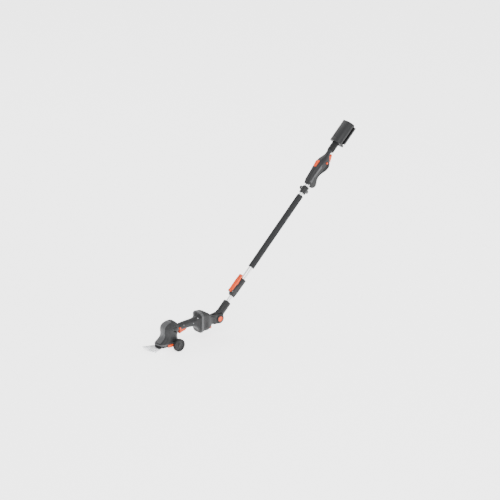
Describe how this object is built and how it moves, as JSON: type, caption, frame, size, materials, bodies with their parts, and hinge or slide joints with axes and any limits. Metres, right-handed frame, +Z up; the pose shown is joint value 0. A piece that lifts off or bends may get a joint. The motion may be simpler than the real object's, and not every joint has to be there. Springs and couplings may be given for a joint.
{
  "type": "pole grass shear",
  "caption": "Cordless grass shear on a telescopic pole, with a tilting head on two wheels, a snap clamp, foam grip, control handle and battery dock.",
  "frame": {"origin": "on the ground under the middle of the tool's length", "axes": "+X to the rear, from the blades towards the battery dock; +Z up from the ground; +Y to the user's right"},
  "size_m": [1.3281, 0.1206, 0.9436],
  "materials": {
    "charcoal_plastic": "fine moulded texture",
    "grey_plastic": "fine moulded texture",
    "orange_plastic": "satin moulded",
    "soft_grip": "matt soft overmould",
    "foam": "matt closed cell foam",
    "tyre_rubber": "matt",
    "tube_aluminium": "satin anodised",
    "blade_steel": "ground",
    "dark_steel": "blackened",
    "motor_can": "plated",
    "gear_steel": "sintered",
    "contact_metal": "tinned",
    "switch_black": "moulded"
  },
  "bodies": {
    "upper_pole": {"outer_tube": "tube_aluminium", "clamp_body": "charcoal_plastic", "clamp_pin": "dark_steel", "foam_grip": "foam", "strap_collar": "charcoal_plastic", "collar_screw": "dark_steel", "control_shell_left": "charcoal_plastic", "control_shell_right": "charcoal_plastic", "grip_spine": "charcoal_plastic", "handle_grip": "soft_grip", "main_switch": "switch_black", "dock_cover": "charcoal_plastic", "dock_core": "charcoal_plastic", "dock_rails": "charcoal_plastic", "dock_contacts": "contact_metal"},
    "clamp_lever": {"clamp_lever": "orange_plastic"},
    "thumb_button": {"thumb_button": "orange_plastic"},
    "side_lock": {"side_lock_button": "orange_plastic"},
    "main_trigger": {"main_trigger": "orange_plastic"},
    "lower_pole": {"pole_knuckle": "charcoal_plastic", "inner_tube": "tube_aluminium", "tube_guide": "switch_black"},
    "shear": {"wheel_carrier": "charcoal_plastic", "wheel_axle": "dark_steel", "axle_caps": "charcoal_plastic", "cassette_plate": "blade_steel", "lower_blade": "blade_steel", "blade_pivot_bolt": "dark_steel", "cassette_base": "charcoal_plastic", "gear_plate": "motor_can", "drive_motor": "motor_can", "nose_cover": "grey_plastic", "head_shell_left": "charcoal_plastic", "head_shell_right": "charcoal_plastic", "handle_shell_left": "charcoal_plastic", "handle_shell_right": "charcoal_plastic", "handle_screws": "dark_steel", "trigger_switch": "switch_black", "foot_rim": "grey_plastic", "head_terminals": "switch_black", "adapter_shell_left": "charcoal_plastic", "adapter_shell_right": "charcoal_plastic", "adapter_terminals": "switch_black", "hinge_fork": "charcoal_plastic", "hinge_bolt": "charcoal_plastic", "hinge_spring": "dark_steel"},
    "wheel_left": {"wheel_left": "charcoal_plastic", "tyre_left": "tyre_rubber"},
    "wheel_right": {"wheel_right": "charcoal_plastic", "tyre_right": "tyre_rubber"},
    "moving_blade": {"upper_blade": "blade_steel"},
    "crank": {"crank_gear": "gear_steel"},
    "motor_rotor": {"motor_pinion": "gear_steel"},
    "release_left": {"release_button_left": "orange_plastic"},
    "release_right": {"release_button_right": "orange_plastic"},
    "lower_trigger": {"lower_trigger": "orange_plastic"},
    "lower_lock": {"lower_lock_button": "orange_plastic"},
    "adapter_latch": {"adapter_latch": "orange_plastic"},
    "hinge_button": {"hinge_button": "orange_plastic", "hinge_lock_ring": "gear_steel"}
  },
  "joints": [
    {"name": "pole_extend", "type": "slide", "parent": "upper_pole", "child": "lower_pole", "axis": [-0.723, 0, -0.6909], "range_m": [0, 0.3]},
    {"name": "pole_tilt", "type": "hinge", "parent": "lower_pole", "child": "shear", "pos_m": [-0.21315, 0, 0.09], "axis": [0, 1, 0], "range_deg": [-43.7, 46.3]},
    {"name": "clamp_lever_flip", "type": "hinge", "parent": "upper_pole", "child": "clamp_lever", "pos_m": [-0.12584, 0, 0.21285], "axis": [0, -1, 0], "range_deg": [0, 75]},
    {"name": "thumb_press", "type": "slide", "parent": "upper_pole", "child": "thumb_button", "axis": [0.6909, 0, -0.723], "range_m": [0, 0.003], "stiffness_N_per_m": 600, "springref_m": -0.002},
    {"name": "side_lock_press", "type": "slide", "parent": "upper_pole", "child": "side_lock", "axis": [0, 1, 0], "range_m": [0, 0.003], "stiffness_N_per_m": 300, "springref_m": -0.002},
    {"name": "main_trigger_squeeze", "type": "hinge", "parent": "upper_pole", "child": "main_trigger", "pos_m": [0.51692, 0, 0.78214], "axis": [0, 1, 0], "range_deg": [0, 7], "stiffness_Nm_per_rad": 1, "springref_deg": -5.73},
    {"name": "wheel_left_spin", "type": "hinge", "parent": "shear", "child": "wheel_left", "pos_m": [-0.50115, -0.052, 0.0325], "axis": [0, 1, 0], "continuous": true},
    {"name": "wheel_right_spin", "type": "hinge", "parent": "shear", "child": "wheel_right", "pos_m": [-0.50115, 0.052, 0.0325], "axis": [0, 1, 0], "continuous": true},
    {"name": "blade_swing", "type": "hinge", "parent": "shear", "child": "moving_blade", "pos_m": [-0.56315, 0, 0.032], "axis": [0, 0, 1], "range_deg": [-4.5, 4.5]},
    {"name": "crank_spin", "type": "hinge", "parent": "shear", "child": "crank", "pos_m": [-0.52515, 0, 0.05], "axis": [0, 0, 1], "continuous": true},
    {"name": "motor_spin", "type": "hinge", "parent": "shear", "child": "motor_rotor", "pos_m": [-0.50085, 0, 0.05], "axis": [0, 0, 1], "continuous": true},
    {"name": "release_left_press", "type": "slide", "parent": "shear", "child": "release_left", "axis": [0, 1, 0], "range_m": [0, 0.0025], "stiffness_N_per_m": 400, "springref_m": -0.002},
    {"name": "release_right_press", "type": "slide", "parent": "shear", "child": "release_right", "axis": [0, -1, 0], "range_m": [0, 0.0025], "stiffness_N_per_m": 400, "springref_m": -0.002},
    {"name": "lower_trigger_squeeze", "type": "hinge", "parent": "shear", "child": "lower_trigger", "pos_m": [-0.41915, 0, 0.0935], "axis": [0, 1, 0], "range_deg": [0, 6], "stiffness_Nm_per_rad": 1, "springref_deg": -5.73},
    {"name": "lower_lock_press", "type": "slide", "parent": "shear", "child": "lower_lock", "axis": [0, 1, 0], "range_m": [0, 0.003], "stiffness_N_per_m": 300, "springref_m": -0.002},
    {"name": "adapter_latch_press", "type": "slide", "parent": "shear", "child": "adapter_latch", "axis": [0, 0, 1], "range_m": [0, 0.0025], "stiffness_N_per_m": 500, "springref_m": -0.002},
    {"name": "hinge_button_press", "type": "slide", "parent": "shear", "child": "hinge_button", "axis": [0, 1, 0], "range_m": [0, 0.0045], "stiffness_N_per_m": 600, "springref_m": -0.002}
  ],
  "couplings": [
    {"joint": "motor_spin", "follows": "crank_spin", "ratio": -3}
  ]
}
